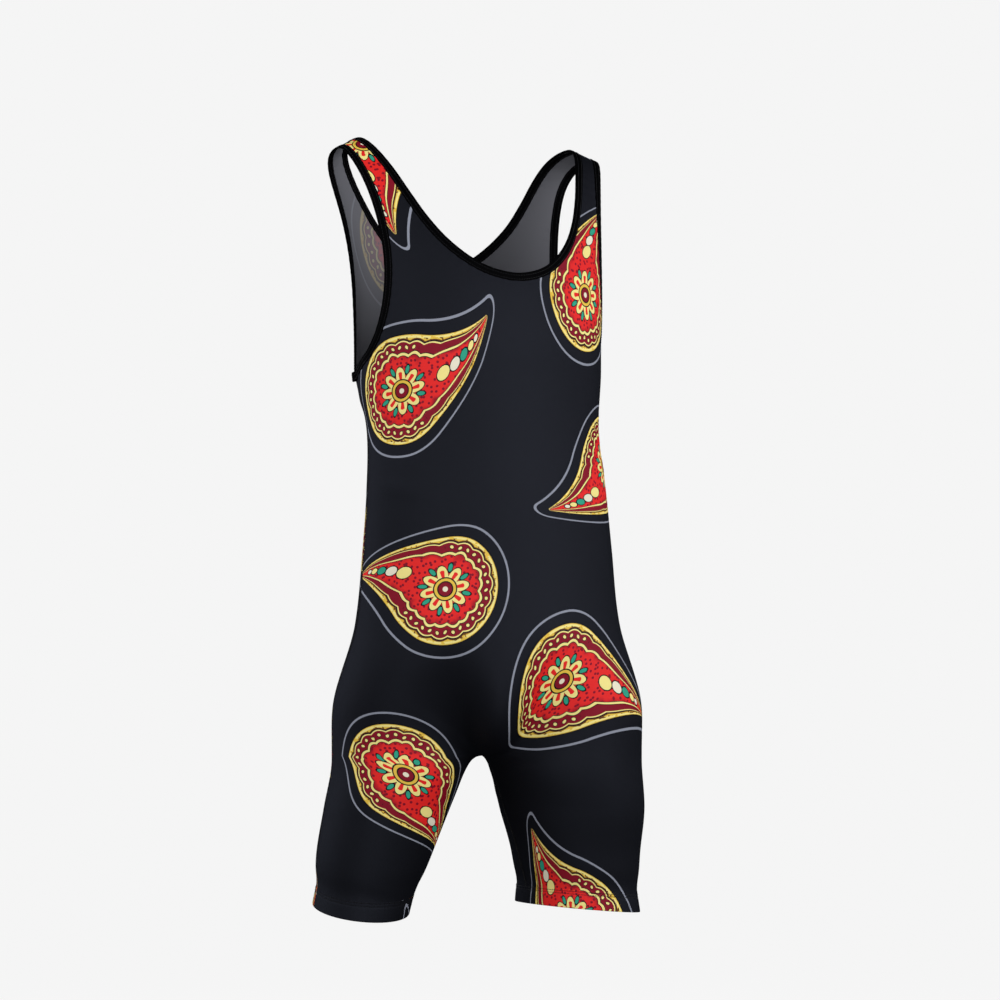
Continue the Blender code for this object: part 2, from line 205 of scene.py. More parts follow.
def read_line(line, lengths, places):
    """Points at places along a line."""
    return np.stack([np.interp(places, lengths, column) for column in line.T], axis=-1)


def read_table(table, column, height):
    """Reads a table's column at any height. Past either end the end's value holds."""
    down = np.array([-row.height for row in table], dtype=float)
    values = np.array([getattr(row, column) for row in table], dtype=float)
    # A twin of the second row above the first one levels the curve there.
    down = np.insert(down, 0, 2 * down[0] - down[1])
    values = np.insert(values, 0, values[1])
    return smooth_curve(down, values, np.clip(-height, down[1], down[-1]))


def seam_shift(face, height):
    """How much wider the panel is for its side seam lying behind the widest point."""
    return -FACING[face] * np.radians(read_table(TORSO, "seam_back", height)) / (np.pi / 2)


def torso_ring(side, face, share, height):
    """About a quarter of a ring, from the middle (share 0) to the side seam (share 1)."""
    quarter = share * (1 + seam_shift(face, height)) * np.pi / 2
    angle = quarter - EVEN * np.sin(2 * quarter)
    swell = 1 + SQUARENESS * np.sin(2 * angle) ** 2
    across = side * swell * read_table(TORSO, "half_width", height) * np.sin(angle)
    ahead = (np.cos(angle) > 0) == (face == "front")
    depth = np.where(ahead, read_table(TORSO, "front", height), read_table(TORSO, "back", height))
    along = FACING[face] * swell * depth * np.cos(angle)
    turn = np.radians(read_table(TORSO, "turn", height))
    x = across * np.cos(turn) + along * np.sin(turn)
    y = along * np.cos(turn) - across * np.sin(turn)
    return x, y + read_table(TORSO, "axis_y", height)


def leg_ring(side, face, share, height, bridge):
    """Half ring from the inseam (share 0) to the side seam (share 1), with the lift of its
    points. bridge rounds the furrow between the thighs."""
    row = {name: read_table(LEGS[side], name, height) for name in Leg._fields}
    half_width, half_depth = row["half_width"], row["half_depth"]
    turn, seam = np.radians(row["turn"]), np.radians(row["seam"])

    def radius(bearing):
        """Radius of the oval. Bearings run from straight inwards, by way of the front."""
        return half_width * half_depth / np.hypot(
            half_depth * np.cos(bearing - turn), half_width * np.sin(bearing - turn)
        )

    angle = share * np.pi
    reach = radius(seam - FACING[face] * angle)
    outwards = radius(seam) - reach * np.cos(angle)
    furrow = bridge * np.cos(angle / 2) ** BRIDGE_FADE
    around = -FACING[face] * (np.hypot(reach * np.sin(angle), furrow) - furrow)
    inner_x = row["centre_x"] - radius(seam) * np.cos(seam)
    inner_y = row["centre_y"] - radius(seam) * np.sin(seam)
    # The two inseams start together, at the top of a round arch.
    down = np.clip(CROTCH - height, 0, None)
    near = np.cos(angle / 2) ** NOTCH_FADE
    arch = near * np.exp(-((down / ARCH_REACH) ** 4)) * (ARCH[side] * np.sqrt(down) - inner_x)
    pull = near * np.exp(-down / NOTCH) * (CROTCH_Y - inner_y)
    x = inner_x + arch + outwards * np.cos(seam) + around * np.sin(seam)
    y = inner_y + pull + outwards * np.sin(seam) - around * np.cos(seam)
    lift = row["front_lift"] * (row["centre_y"] - y) / half_depth
    lift = lift + row["outer_lift"] * (x - row["centre_x"]) / half_width
    return side * x, y, lift


def ridge(x):
    """The shoulder's ridge: y and z at a distance x from the middle."""
    outwards = x**2 / (2 * RIDGE_MIDDLE)
    y = RIDGE_FORWARD * (RIDGE_MIDDLE / 2 - outwards)
    z = RIDGE_FALL * (RIDGE_NECK**2 / (2 * RIDGE_MIDDLE) - outwards)
    return y, z


def close_over(face, x, ring_y, angle):
    """Carries the ring at the underarm's height up to the ridge, as angle goes to 90 degrees."""
    ridge_y, ridge_z = ridge(x)
    fullness = SHOULDER_BLADE * np.sin(angle) ** 4 if face == "back" else 0.0
    reach = (ring_y - ridge_y) * (1 - CHEST_LEAN * np.sin(angle) ** 2) + fullness
    return ridge_y + reach * np.cos(angle), UNDERARM + (ridge_z - UNDERARM) * np.sin(angle)


def climb(face):
    """Lengths up the cloth from the underarm's height to the ridge, with the angles there."""
    angles = np.linspace(0, np.pi / 2, CLIMB_POINTS)
    share = STRAP_SHARE / (1 + seam_shift(face, np.array([UNDERARM])))
    ring_y = torso_ring(1, face, share, np.array([UNDERARM]))[1]
    y, z = close_over(face, RIDGE_MIDDLE, ring_y, angles)
    return along_line(np.c_[y, z]), angles


CLIMB = {face: climb(face) for face in FACING}
SHOULDER = {face: UNDERARM + CLIMB[face][0][-1] for face in FACING}


def form(side, face, share, height):
    """Points of the figure's form. height is the length up the cloth."""
    # Below the underarm the torso runs out into the thighs.
    low = np.minimum(height, UNDERARM)
    rise = np.clip((low - CROTCH) / CROTCH_RISE, 0, 1)
    middle = np.exp(-((share / MIDDLE_SHARE) ** 2))
    curved = CROTCH + CROTCH_RISE * (middle * rise**2 * (2 - rise) + (1 - middle) * rise)
    level = np.where((low > CROTCH) & (rise < 1), curved, low)
    torso = middle * (1 - (1 - rise) ** MIDDLE_HASTE[face])
    torso = torso + (1 - middle) * rise**2 * (3 - 2 * rise)
    leg_x, leg_y, lift = leg_ring(side, face, share, low, BRIDGE * rise)
    torso_x, torso_y = torso_ring(side, face, share, low)
    x = leg_x + (torso_x - leg_x) * torso
    y = leg_y + (torso_y - leg_y) * torso
    z = level + lift * (1 - torso)
    # Above it the form closes over the shoulder.
    angle = np.interp(height - UNDERARM, *CLIMB[face])
    half_width = read_table(TORSO, "half_width", low)
    x = x * (1 + (RIDGE_HALF_WIDTH / half_width - 1) * np.sin(angle) ** 2)
    over_y, over_z = close_over(face, x, y, angle)
    above = height > UNDERARM
    return np.c_[x, np.where(above, over_y, y), np.where(above, over_z, z)]


def inseam_distance(height):
    """Distance of the flat panel's inseam from the middle."""
    down = np.clip(CROTCH - height, 0, None)
    return INSEAM_ROUND * np.sqrt(down) + INSEAM_SLOPE * down


def flat_half_width(face, height):
    """Width of the flat panel, from the middle or the inseam to the side seam."""
    low = np.minimum(height, UNDERARM)
    width = read_table(FLAT, "half_width", low)
    angle = np.interp(height - UNDERARM, *CLIMB[face])
    width = width + (FLAT_SHOULDER - width) * np.sin(angle) ** 2
    return width * (1 + seam_shift(face, low))


def lay(face, flat):
    """Lays points of the flat panel on the form."""
    across, height = flat[:, 0], flat[:, 1]
    share = (np.abs(across) - inseam_distance(height)) / flat_half_width(face, height)
    right, left = (form(side, face, np.clip(share, 0, None), height) for side in (-1, 1))
    return np.where(across[:, None] < 0, right, left)


def straight_out(face, flat):
    """Directions straight out of the form at points of the flat panel."""
    step = 0.5
    right = lay(face, flat + (step, 0)) - lay(face, flat - (step, 0))
    up = lay(face, flat + (0, step)) - lay(face, flat - (0, step))
    out = -FACING[face] * np.cross(right, up)
    return out / np.linalg.norm(out, axis=1, keepdims=True)


def even_steps(points, step):
    """Points a step apart, or a little less, along a line through many points."""
    lengths = along_line(points)
    places = np.linspace(0, lengths[-1], int(np.ceil(lengths[-1] / step)) + 1)
    return read_line(points, lengths, places)


def cut_edge(start, cuts, end):
    """Smooth cut edge from the start, which it leaves level, to the shoulder, which it meets
    squarely."""
    rows = np.array([start, *cuts, end], dtype=float)
    before = (2 * rows[0, 0] - rows[1, 0], rows[1, 1])
    after = (rows[-2, 0], 2 * rows[-1, 1] - rows[-2, 1])
    rows = np.vstack([before, rows, after])
    lengths = along_line(rows)
    places = np.linspace(lengths[1], lengths[-2], FINE_POINTS)
    line = [smooth_curve(lengths, column, places) for column in rows.T]
    return even_steps(np.stack(line, axis=-1), CUT_STEP)


def neck_edge(face):
    """The left half of the neck's cut edge, from the middle to the shoulder."""
    return cut_edge((0, NECK_LOW[face]), NECK[face], (STRAP_NECK, SHOULDER[face]))


def armhole_edge(face):
    """The left armhole's cut edge, from the side seam to the shoulder."""
    side = float(flat_half_width(face, np.array([ARMHOLE_LOW]))[0])
    return cut_edge((side, ARMHOLE_LOW), ARMHOLE[face], (STRAP_ARM, SHOULDER[face]))


def into_opening(face, edge, opening):
    """Steps of one worn millimetre from a cut edge into its opening. opening is 1 where that
    lies on the left of the edge's way, and -1 where it lies on the right."""
    along = np.gradient(edge, axis=0)
    along[0, 1] = 0
    along[-1, 0] = 0
    across = np.c_[-along[:, 1], along[:, 0]] * opening
    across /= np.linalg.norm(across, axis=1, keepdims=True)
    # The flat panel is stretched over the form, so a step across it is measured there.
    return across / np.linalg.norm(lay(face, edge + across) - lay(face, edge), axis=1)[:, None]


def side_seam(face):
    """The left side seam of the flat panel, from top to bottom."""
    height = np.linspace(ARMHOLE_LOW, PANEL_END, FINE_POINTS)
    across = inseam_distance(height) + flat_half_width(face, height)
    return even_steps(np.c_[across, height], CUT_STEP)


def leg_line(face, level, count):
    """A line across the left leg of the flat panel, from the side seam to the inseam."""
    height = np.full(count, float(level))
    across = inseam_distance(height) + np.linspace(1, 0, count) * flat_half_width(face, height)
    return np.c_[across, height]


def inseam():
    """The left inseam of the flat panel, from the bottom up to the middle of the crotch."""
    height = CROTCH - np.linspace(np.sqrt(CROTCH - PANEL_END + TUCK), 0, FINE_POINTS) ** 2
    return even_steps(np.c_[inseam_distance(height), height], CUT_STEP)


def panel_outline(face):
    """The flat panel's outline, counter-clockwise, with its edges tucked into the tapes."""
    neck = neck_edge(face)
    neck += into_opening(face, neck, 1) * TUCK
    armhole = armhole_edge(face)
    armhole = (armhole + into_opening(face, armhole, -1) * TUCK)[::-1]
    side = side_seam(face)
    leg_end = leg_line(face, PANEL_END - TUCK, LEG_POINTS)
    left = np.vstack([neck, armhole, side[1:-1], leg_end, inseam()[1:]])
    right = left[1:-1] * (-1, 1)
    return np.vstack([left, right[::-1]])[::-1]


def nearest_in(points):
    """A tree that finds the nearest of flat points."""
    tree = KDTree(len(points))
    for number, point in enumerate(points):
        tree.insert((*point, 0), number)
    tree.balance()
    return tree


def fill_outline(outline):
    """Points and triangles over a flat outline, with an even lattice of points inside it."""
    low, high = outline.min(axis=0), outline.max(axis=0)
    levels = np.arange(low[1], high[1], CLOTH_STEP * np.sqrt(3) / 2)
    places = np.arange(low[0], high[0], CLOTH_STEP)
    across = places[None, :] + CLOTH_STEP / 2 * (np.arange(len(levels)) % 2)[:, None]
    lattice = np.stack([across, np.broadcast_to(levels[:, None], across.shape)], axis=-1)
    lattice = lattice.reshape(-1, 2)
    rim = nearest_in(outline)
    clear = [rim.find((*point, 0))[2] > RIM_CLEARANCE for point in lattice]
    points = np.vstack([outline, lattice[clear]])
    edges = [(number, (number + 1) % len(outline)) for number in range(len(outline))]
    filled = delaunay_2d_cdt([Vector(point) for point in points], edges, [], 1, 1e-6)
    flat = np.array([tuple(point) for point in filled[0]])
    triangles = np.array([corners for corners in filled[2] if len(corners) == 3])
    used, renumbered = np.unique(triangles, return_inverse=True)
    return flat[used], renumbered.reshape(triangles.shape)


def crease_relief(face, flat):
    """How far the cloth stands out in its soft creases."""
    relief = np.zeros(len(flat))
    for crease in CREASES[face]:
        start = np.array([crease.start_x, crease.start_y])
        way = np.array([crease.end_x, crease.end_y]) - start
        length = np.hypot(*way)
        along = (flat - start) @ way / length**2
        aside = (flat - start) @ np.array([-way[1], way[0]]) / length
        aside = (aside - crease.bow * 4 * along * (1 - along)) / crease.width
        fade = np.exp(-np.abs((along - 0.5) / CREASE_FADE) ** 3)
        relief += crease.depth * fade * (1 - aside**2) * np.exp(-(aside**2))
    return relief


def leg_pinch(height):
    """How far the hem's stitching draws the leg in, at lengths up the cloth."""
    return -PINCH * np.exp(-(((height - PANEL_END - PINCH_ABOVE) / PINCH_REACH) ** 2))


def ripple(length):
    """Uneven small waves along a stitched edge, from -1 to 1."""
    drift = PUCKER_UNEVEN * np.sin(2 * np.pi * length / PUCKER_DRIFT)
    return np.sin(2 * np.pi * length / PUCKER_LENGTH + drift)


def edge_relief(face, flat):
    """How the seams, the tapes and the hems draw the cloth in and pucker it."""
    seams = nearest_in(np.vstack([side_seam(face), inseam()]))
    edges = [neck_edge(face), armhole_edge(face), leg_line(face, PANEL_END, LEG_POINTS)]
    lengths = np.concatenate([np.arange(len(edge)) * CUT_STEP for edge in edges])
    stitched = nearest_in(np.vstack(edges))
    relief = leg_pinch(flat[:, 1])
    for row, (across, height) in enumerate(flat):
        place = (abs(across), height, 0)
        distance = seams.find(place)[2]
        if distance < SEAM_REACH:
            relief[row] -= SEAM_DIP * np.exp(-((distance / SEAM_WIDTH) ** 2))
        _, number, distance = stitched.find(place)
        if distance < 3 * PUCKER_REACH:
            fade = np.exp(-((distance / PUCKER_REACH) ** 2))
            length = lengths[number] + PUCKER_OFFSET * np.sign(across)
            relief[row] += PUCKER * ripple(length) * fade
    relief -= SEAM_DIP * np.exp(-(((SHOULDER[face] - flat[:, 1]) / SEAM_WIDTH) ** 2))
    return relief


def add_object(name, data):
    """A new object in the scene."""
    added = bpy.data.objects.new(name, data)
    bpy.context.scene.collection.objects.link(added)
    return added


def make_mesh(name, points, faces, corner_maps, slots, materials):
    """A smooth mesh from points in millimetres. corner_maps gives each map's place for every
    corner, and slots the material of every face."""
    mesh = bpy.data.meshes.new(name)
    mesh.from_pydata((points * METRE).tolist(), [], faces)
    for label, places in corner_maps.items():
        layer = mesh.uv_layers.new(name=label)
        layer.data.foreach_set("uv", np.asarray(places, dtype=np.float32).ravel())
    for material in materials:
        mesh.materials.append(material)
    mesh.polygons.foreach_set("material_index", np.asarray(slots, dtype=np.int32))
    mesh.update()
    mesh.shade_smooth()
    mesh.set_sharp_from_angle(angle=SHARP_ANGLE)
    piece = add_object(name, mesh)
    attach(piece, "root")
    return piece


# Places on the printed roll, in metres.
PRINT_SHIFT = {"front": (0.0, 0.034), "back": (1.322, 0.098)}
# The cloth's two sides lie next to each other on the map of baked colours.
BAKED_SIZE = (0.49, 0.9408)
BAKED_MARGIN = 0.01


def make_panel(face):
    """The front or the back panel, with its printed side and its wrong side."""
    flat, triangles = fill_outline(panel_outline(face))
    relief = crease_relief(face, flat) + edge_relief(face, flat)
    laid, out = lay(face, flat), straight_out(face, flat)
    outside = laid + out * (CLOTH_OUTSIDE + relief)[:, None]
    inside = laid + out * (CLOTH_OUTSIDE - CLOTH_THICKNESS + relief)[:, None]
    if face == "back":
        triangles = triangles[:, ::-1]
    count = len(flat)
    edges = np.vstack([triangles[:, [0, 1]], triangles[:, [1, 2]], triangles[:, [2, 0]]])
    codes = edges[:, 0] * count + edges[:, 1]
    rim = edges[~np.isin(codes, edges[:, 1] * count + edges[:, 0])]
    rim_faces = np.c_[rim[:, 1], rim[:, 0], rim[:, 0] + count, rim[:, 1] + count]
    faces = triangles.tolist() + (triangles[:, ::-1] + count).tolist() + rim_faces.tolist()
    corners = np.concatenate([np.ravel(corner) for corner in faces])
    cut = np.vstack([flat, flat]) * METRE + PRINT_SHIFT[face]
    low, size = flat.min(axis=0), np.ptp(flat, axis=0).max()
    baked = (flat - low) / size * BAKED_SIZE + BAKED_MARGIN
    baked = np.vstack([baked, baked + (BAKED_SIZE[0], 0)])
    slots = np.repeat([0, 1, 0], [len(triangles), len(triangles), len(rim_faces)])
    maps = {"cut": cut[corners], "OFBake": baked[corners]}
    piece = make_mesh(
        face + "_panel_cloth", np.vstack([outside, inside]), faces, maps, slots,
        [PRINTED_SIDE, WRONG_SIDE],
    )
    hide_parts(face + "_panel")


def operator(operation, reflected=False):
    """A method that adds a Math node."""
    def apply(self, *others):
        values = [*others, self] if reflected else [self, *others]
        return self.node("ShaderNodeMath", {"operation": operation}, dict(enumerate(values)))
    return apply


class Signal:
    """A socket of a material's nodes. Sums, products and the like add Math nodes."""

    def __init__(self, tree, socket=None):
        self.tree = tree
        self.socket = socket

    def node(self, kind, settings, values, output=0):
        """Adds a node: its settings, then the values or links of its sockets."""
        made = self.tree.nodes.new(kind)
        for name, value in settings.items():
            setattr(made, name, value)
        for socket, value in values.items():
            if isinstance(value, Signal):
                self.tree.links.new(value.socket, made.inputs[socket])
            else:
                made.inputs[socket].default_value = value
        return Signal(self.tree, made.outputs[output])

    def math(self, operation, *others):
        """Adds a Math node that has no sign of its own."""
        return operator(operation)(self, *others)

    __add__ = __radd__ = operator("ADD")
    __mul__ = __rmul__ = operator("MULTIPLY")
    __sub__, __rsub__ = operator("SUBTRACT"), operator("SUBTRACT", reflected=True)
    __truediv__, __rtruediv__ = operator("DIVIDE"), operator("DIVIDE", reflected=True)
    __pow__ = operator("POWER")
    __abs__ = operator("ABSOLUTE")
    __lt__, __gt__ = operator("LESS_THAN"), operator("GREATER_THAN")

    def painted(self, colour, where):
        """This colour, covered with another one where the mask is 1."""
        colour = colour if isinstance(colour, Signal) else (*colour, 1)
        return self.node(
            "ShaderNodeMix", {"data_type": "RGBA"}, {0: where, 6: self, 7: colour}, output=2
        )

    def eased(self, start, end):
        """0 up to start, 1 from end on, and smooth between them."""
        return self.node(
            "ShaderNodeMapRange",
            {"interpolation_type": "SMOOTHSTEP"},
            {"Value": self, "From Min": start, "From Max": end},
        )


SCREEN_GAMMA = 2.2


def dye(red, green, blue):
    """A colour from its screen values, from 0 to 255."""
    return tuple((value / 255) ** SCREEN_GAMMA for value in (red, green, blue))


INK_BLACK = dye(15, 15, 17)
INK_LINE = dye(7, 6, 8)
INK_GREY = dye(126, 129, 140)
INK_MUSTARD = dye(208, 172, 65)
INK_STRAW = dye(222, 207, 127)
INK_BROWN = dye(92, 54, 20)
INK_RED = dye(207, 38, 33)
INK_WINE = dye(118, 16, 32)
INK_TEAL = dye(46, 142, 116)
INK_WHITE = dye(214, 207, 184)

MILLIMETRES = 1000  # in a metre
CELL = 236.0  # each motif has a square of the roll to itself, and columns drop by half a square
BOWL = 62.0  # radius of the motif's round end
TIP = 3.0
TAIL = 110.0
CURL = 0.0046
MIDDLE = (16.0, 32.0)
TURN_BY_COLUMN = 1.48
TURN_BY_ROW = 3.9
TURN_START = 3.99
SIZE = 0.985
SIZE_VARIES = 0.07
SIZE_BY_TURN = 2.3
BLOTCH_SCALE, FLECK_SCALE, SEED_SCALE = 95, 260, 165
TIP_CROWDING = 0.6  # how much closer together the contours come at the tip
OUTLINE = 12.0  # from the motif to its grey outline
OUTLINE_HALF = 1.2
MOTIF_EDGE = 0.4
RIM = 1.6
RIM_STROKES = (2.4, 5.0)
STROKE_GAPS = 0.4
RIM_FLECKS = 4.2
FLECK_SHARE = 0.42
SCALLOPS = 9  # round half the motif
SCALLOP_DEPTH = 2.8
BANDS = (  # inside the scallops, ink and start
    (INK_BROWN, 7.6), (INK_LINE, 8.8), (INK_STRAW, 10.2), (INK_WINE, 11.6),
)
FIELD = 11.6
FIELD_SHADE = (29, 41)  # from wine to red
FIELD_BLOTCHES = 18
SEEDS_START = 26
SEED_RADIUS = 0.24
BEADS = 34
BEAD_TRACK = 16.4
BEAD_RADIUS, BEAD_EDGE = 1.8, 2.5
ROUND_END = 0.02  # how far up the tail the beads go
VINE_TRACK = 23.2
VINE_WAVES = 8
VINE_SWAY = 1.2
VINE_HALF, VINE_EDGE = 1.4, 2.3
PETALS = 8
PETAL_LOW, PETAL_SWELL, PETAL_EDGE = 14, 12.5, 1.3
STREAK_LOW, STREAK_SWELL, STREAK_START = 12.5, 8.8, 0.35
VEIN_HALF = 0.45
LEAF_AWAY, LEAF_LENGTH, LEAF_WIDTH, LEAF_EDGE = 24.2, 4.6, 2.2, 1.4
EYE = (  # ink, radius
    (INK_LINE, 13.2), (INK_MUSTARD, 11.8), (INK_LINE, 8.8), (INK_WINE, 7.4), (INK_WHITE, 2.9),
)
DOTS = ((49, 7.4), (63.5, 6.0), (75.5, 4.8), (85.5, 3.7), (93, 2.7))  # place, radius
DOT_INKS = (INK_STRAW, INK_WHITE, INK_TEAL)
DOT_EDGE = 1.2


def flat_colour(blank, colour):
    """One colour all over, to paint on."""
    plain = blank.node("ShaderNodeRGB", {}, {})
    plain.socket.default_value = (*colour, 1)
    return plain


def noise(blank, place, scale, detail):
    """Soft noise, from 0 to 1."""
    return blank.node("ShaderNodeTexNoise", {}, {"Vector": place, "Scale": scale, "Detail": detail})


def places_on_cut(blank):
    """Places on the flat cut, in metres: as one vector, then across and up."""
    place = blank.node("ShaderNodeUVMap", {"uv_map": "cut"}, {})
    across = blank.node("ShaderNodeSeparateXYZ", {}, {0: place})
    return place, across, Signal(blank.tree, across.socket.node.outputs[1])


def print_design(blank):
    """The printed design: curled teardrops with a flower in each, turned each way."""
    place, across, up = places_on_cut(blank)
    across, up = across * MILLIMETRES, up * MILLIMETRES
    column = (across / CELL).math("FLOOR")
    odd = abs((column * 0.5).math("FRACT")) * 2
    up = up + odd * (CELL / 2)
    row = (up / CELL).math("FLOOR")
    local_x = across - (column + 0.5) * CELL
    local_y = up - (row + 0.5) * CELL
    turn = column * TURN_BY_COLUMN + row * TURN_BY_ROW + TURN_START
    size = SIZE + SIZE_VARIES * (turn * SIZE_BY_TURN).math("SINE")
    cosine, sine = turn.math("COSINE") / size, turn.math("SINE") / size
    x = (local_x * cosine + local_y * sine) * (1 - odd * 2) + MIDDLE[0]
    y = local_y * cosine - local_x * sine + MIDDLE[1]
    # The teardrop is the hull of two circles, bent to one side towards its tip.
    x = x - y.math("MAXIMUM", 0) ** 2 * CURL
    slope = (BOWL - TIP) / TAIL
    lean = slope / np.sqrt(1 - slope**2)
    along = ((y - abs(x) * lean) / TAIL).math("MAXIMUM", 0).math("MINIMUM", 1)
    radius = BOWL - along * (BOWL - TIP)
    reach = (x * x + (y - along * TAIL) ** 2) ** 0.5
    outside = reach - radius
    # Inside, the contours draw together towards the tip.
    depth = (radius - reach) * (1 - TIP_CROWDING + TIP_CROWDING * BOWL / radius)
    blotches = noise(blank, place, BLOTCH_SCALE, 3)
    flecks = noise(blank, place, FLECK_SCALE, 2)
    bearing = y.math("ARCTAN2", x)
    away = (x * x + y * y) ** 0.5

    field = depth + abs((bearing * SCALLOPS).math("SINE")) * SCALLOP_DEPTH * (1 - along)
    shade = (field + blotches * FIELD_BLOTCHES).eased(*FIELD_SHADE)
    seeds = blank.node(
        "ShaderNodeTexVoronoi", {"voronoi_dimensions": "2D"}, {"Vector": place, "Scale": SEED_SCALE}
    )
    bead = ((bearing * (BEADS / (2 * np.pi))).math("FRACT") - 0.5) * away * (2 * np.pi / BEADS)
    bead = (bead * bead + (field - BEAD_TRACK) ** 2) ** 0.5
    vine = abs(field - VINE_TRACK - (bearing * VINE_WAVES).math("SINE") * VINE_SWAY)
    sector = ((bearing * (PETALS / (2 * np.pi))).math("FRACT") + 1).math("FRACT") - 0.5
    beside = away * sector * (2 * np.pi / PETALS)
    leaf = (((away - LEAF_AWAY) / LEAF_LENGTH) ** 2 + (beside / LEAF_WIDTH) ** 2) ** 0.5
    swell = (abs(sector) * np.pi).math("SINE")
    petal = PETAL_LOW + swell * PETAL_SWELL
    streak = STREAK_LOW + swell * STREAK_SWELL

    # Each ink covers those before it.
    layers = [
        (INK_GREY, abs(outside - OUTLINE) < OUTLINE_HALF),
        (INK_LINE, outside < MOTIF_EDGE),
        # The rim, with pale strokes along its outside and brown flecks.
        (INK_MUSTARD, depth > RIM),
        (INK_STRAW, (depth > RIM_STROKES[0]) * (depth < RIM_STROKES[1]) * (blotches > STROKE_GAPS)),
        (INK_BROWN, (depth > RIM_FLECKS) * (flecks < FLECK_SHARE)),
        # A scalloped black line with piping inside it, and a red field, dark towards the rim.
        *((ink, field > start) for ink, start in BANDS),
        (INK_RED, shade * (field > FIELD)),
        (INK_WINE, (seeds < SEED_RADIUS) * (field > SEEDS_START)),
        # Straw-coloured beads, then a vine, run round the field.
        (INK_LINE, (bead < BEAD_EDGE) * (along < ROUND_END)),
        (INK_STRAW, (bead < BEAD_RADIUS) * (along < ROUND_END)),
        (INK_LINE, vine < VINE_EDGE),
        (INK_STRAW, vine < VINE_HALF),
        # A flower fills the bowl, with leaves between its petals.
        (INK_LINE, leaf < LEAF_EDGE),
        (INK_TEAL, leaf < 1),
        (INK_LINE, away < petal + PETAL_EDGE),
        (INK_STRAW, away < petal),
        (INK_RED, (away < streak) * (abs(sector) > STREAK_START)),
        (INK_BROWN, (away < streak) * (abs(beside) < VEIN_HALF)),
        *((ink, away < radius) for ink, radius in EYE),
    ]
    for number, (level, girth) in enumerate(DOTS):
        dot = (x * x + (y - level) ** 2) ** 0.5
        layers += [(INK_LINE, dot < girth + DOT_EDGE), (DOT_INKS[number % 3], dot < girth)]
    design = flat_colour(blank, INK_BLACK)
    for ink, mask in layers:
        design = design.painted(ink, mask)
    return design


STITCH_SHARE = 0.3  # of the relief's height


def knit_relief(blank, wale, course):
    """Fine knit stitches: columns of small Vs, from the flat cut's places in millimetres."""
    _, across, up = places_on_cut(blank)
    across, up = across * (MILLIMETRES / wale), up * (MILLIMETRES / course)
    half = abs(across.math("FRACT") - 0.5)
    ribs = (half * (2 * np.pi)).math("SINE")
    loops = ((up + half * 2) * (2 * np.pi)).math("SINE")
    return ribs * loops.math("MULTIPLY_ADD", STITCH_SHARE, 1 - STITCH_SHARE)


SHEEN = 0.1  # the sheen's share, under its own colour
FIBRE_ROUGHNESS = 0.8
RELIEF_STRENGTH = 0.5


def start_material(name, inputs):
    """A new material with the shader's constant inputs: the material, the shader and a start for
    its nodes."""
    material = bpy.data.materials.new(name)
    material.use_nodes = True
    shader = material.node_tree.nodes["Principled BSDF"]
    for socket, value in {"Specular IOR Level": 0.0, **inputs}.items():
        shader.inputs[socket].default_value = value
    return material, shader, Signal(material.node_tree)


def cloth_material(name, colour_of, sheen, roughness, wale, course, depth):
    """A knit: its colour, its stitches as a fine relief, and the soft sheen of its filaments."""
    material, shader, blank = start_material(name, {"Roughness": FIBRE_ROUGHNESS})
    tree = blank.tree
    tree.links.new(colour_of(blank).socket, shader.inputs["Base Color"])
    relief = knit_relief(blank, wale, course)
    bump = blank.node(
        "ShaderNodeBump", {},
        {"Height": relief, "Distance": depth, "Strength": RELIEF_STRENGTH},
    )
    tree.links.new(bump.socket, shader.inputs["Normal"])
    gloss = blank.node(
        "ShaderNodeBsdfGlossy", {},
        {"Color": (*sheen, 1), "Roughness": roughness, "Normal": bump},
    )
    body = Signal(tree, shader.outputs["BSDF"])
    mixed = blank.node("ShaderNodeMixShader", {}, {0: SHEEN, 1: body, 2: gloss})
    tree.links.new(mixed.socket, tree.nodes["Material Output"].inputs["Surface"])
    return material


WRONG_SIDE_GREY = dye(96, 96, 101)
STRIKE_THROUGH = 0.16


def ghost_design(blank):
    """The wrong side: undyed knit, greyed by the print that strikes through."""
    return flat_colour(blank, WRONG_SIDE_GREY).painted(print_design(blank), STRIKE_THROUGH)


PRINTED_SIDE = cloth_material(
    "printed_knit", print_design, sheen=(0.105, 0.114, 0.15), roughness=0.65,
    wale=0.6, course=0.5, depth=0.00004,
)
WRONG_SIDE = cloth_material(
    "knit_wrong_side", ghost_design, sheen=(0.05, 0.05, 0.055), roughness=0.6,
    wale=0.6, course=0.5, depth=0.00008,
)
for panel_face in FACING:
    make_panel(panel_face)

# --------------------------------------
# Seams. Flat seams join the panels at the sides, round the crotch and on the shoulders: two rows
# of stitches in black thread, with a ladder of cover thread lying flat between them.

SEAM_ROWS = 2.3  # from the seam to each row
SEAM_START = 4.0  # below the armhole
STRAP_POINTS = 8
SEAM_RAISE = CLOTH_OUTSIDE + 0.05
SEAM_PITCH, SEAM_STITCH = 2.6, 2.2
COVER_PITCH, COVER_TURN = 2.2, 62
STITCH_RINGS = ((-1, 0.5, -0.5), (-0.6, 1, 0), (0.6, 1, 0), (1, 0.5, -0.5))  # place, girth, rise
THREAD_SIDES = 5
THREAD_RADIUS = 0.3

Row = namedtuple("Row", "line out pitch length turn")


